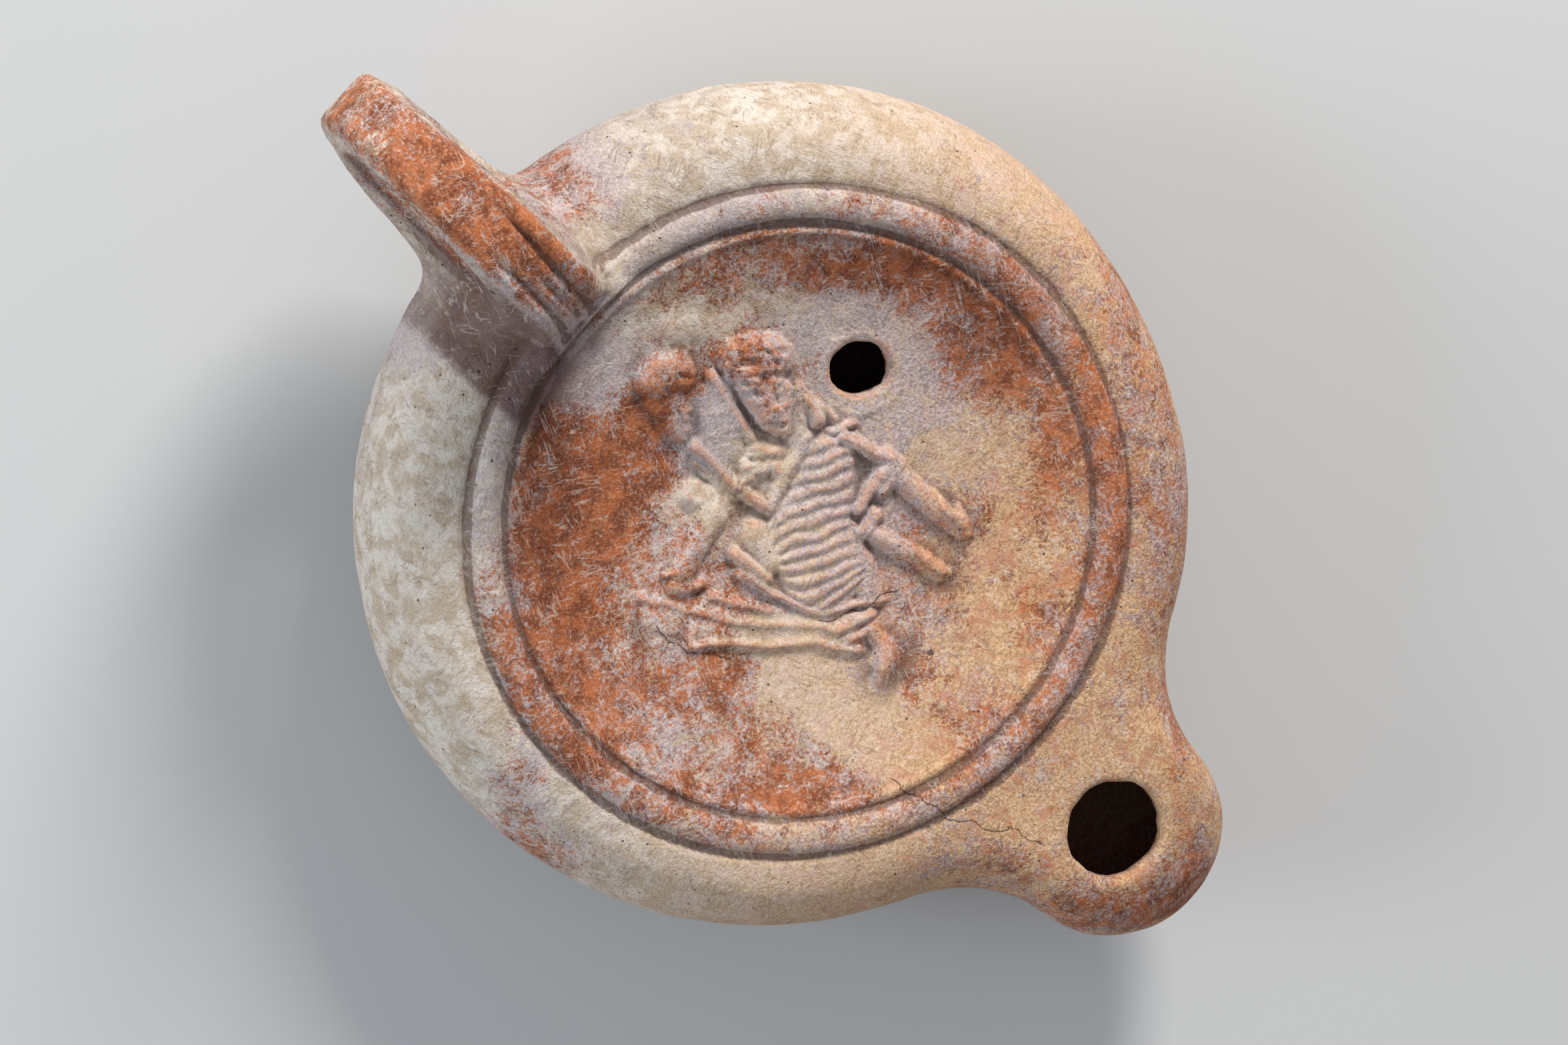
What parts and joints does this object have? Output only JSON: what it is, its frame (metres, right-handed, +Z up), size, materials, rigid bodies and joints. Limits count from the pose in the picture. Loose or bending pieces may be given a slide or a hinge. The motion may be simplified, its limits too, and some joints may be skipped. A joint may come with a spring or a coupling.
{
  "type": "roman oil lamp",
  "caption": "Mould-made terracotta oil lamp with a sunk relief discus, an off-centre filling hole, a short round nozzle and a pierced ring handle.",
  "frame": {"origin": "centre of the flat base's underside, under the round body's axis", "axes": "+Z up from the base, the nozzle points to -Y and the handle to +Y, X across"},
  "size_m": [0.0845, 0.1238, 0.0442],
  "materials": {
    "terracotta": "matte fired clay with a worn cream and lilac slip over orange, and burial crust"
  },
  "bodies": {
    "root": {"lamp_body": "terracotta"}
  },
  "joints": []
}
